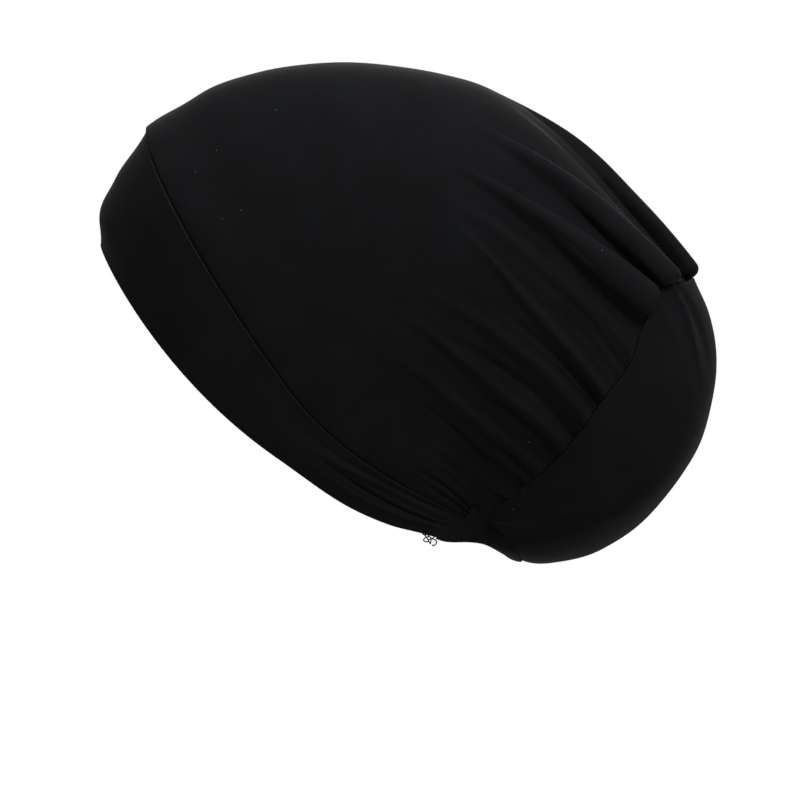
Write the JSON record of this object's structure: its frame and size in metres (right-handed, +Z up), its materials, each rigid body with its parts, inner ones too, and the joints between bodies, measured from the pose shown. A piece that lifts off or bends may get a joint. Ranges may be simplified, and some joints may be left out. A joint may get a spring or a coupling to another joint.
{
  "type": "head wrap",
  "caption": "Stretch jersey head wrap in its worn form, with a doubled front band, a pleated crown, a rounded back panel for the hair and an elastic nape.",
  "frame": {"origin": "where the top of the wearer's head touches the inside of the crown, on the middle plane", "axes": "+Z up with the head upright, +Y to the back of the head, +X to the wearer's left"},
  "size_m": [0.1558, 0.2761, 0.2239],
  "materials": {
    "black_jersey": "matte fine-knit stretch jersey, dyed black, with a slight sheen at grazing angles",
    "elastic_casing": "black jersey puckered over a narrow elastic"
  },
  "bodies": {
    "root": {"front_band": "black_jersey", "crown_panel": "black_jersey", "back_panel": "black_jersey", "nape_casing": "elastic_casing"}
  },
  "joints": []
}
